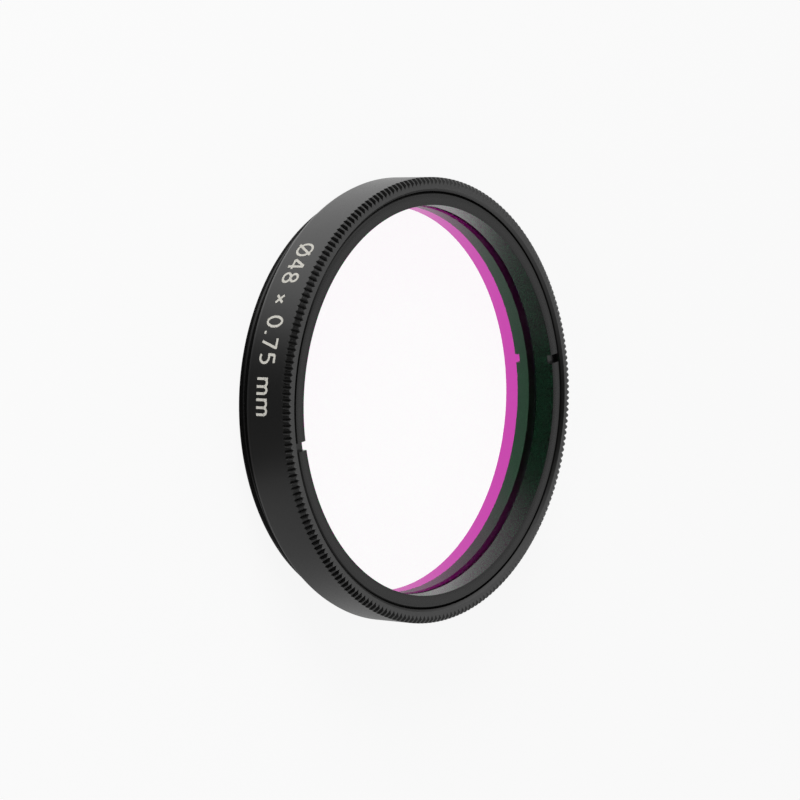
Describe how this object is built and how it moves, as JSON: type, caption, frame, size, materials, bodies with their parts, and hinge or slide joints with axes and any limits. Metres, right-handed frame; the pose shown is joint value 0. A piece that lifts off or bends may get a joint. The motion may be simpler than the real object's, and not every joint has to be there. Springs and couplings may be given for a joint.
{
  "type": "telescope filter",
  "caption": "Round screw-in telescope filter: black fluted cell with male thread, coated glass disc and slotted retaining ring.",
  "frame": {"origin": "centre of the threaded end, on the optical axis, at the lowest point", "axes": "+Z along the optical axis from the threaded end to the fluted front rim; the retaining ring's two slots lie on X"},
  "size_m": [0.0508, 0.0508, 0.0085],
  "materials": {
    "anodised_cell": "black anodised, satin, finely blasted",
    "coated_glass": "polished, magenta reflecting interference coating",
    "anodised_ring": "black anodised, satin"
  },
  "bodies": {
    "root": {"filter_cell": "anodised_cell", "filter_glass": "coated_glass", "retaining_ring": "anodised_ring"}
  },
  "joints": []
}
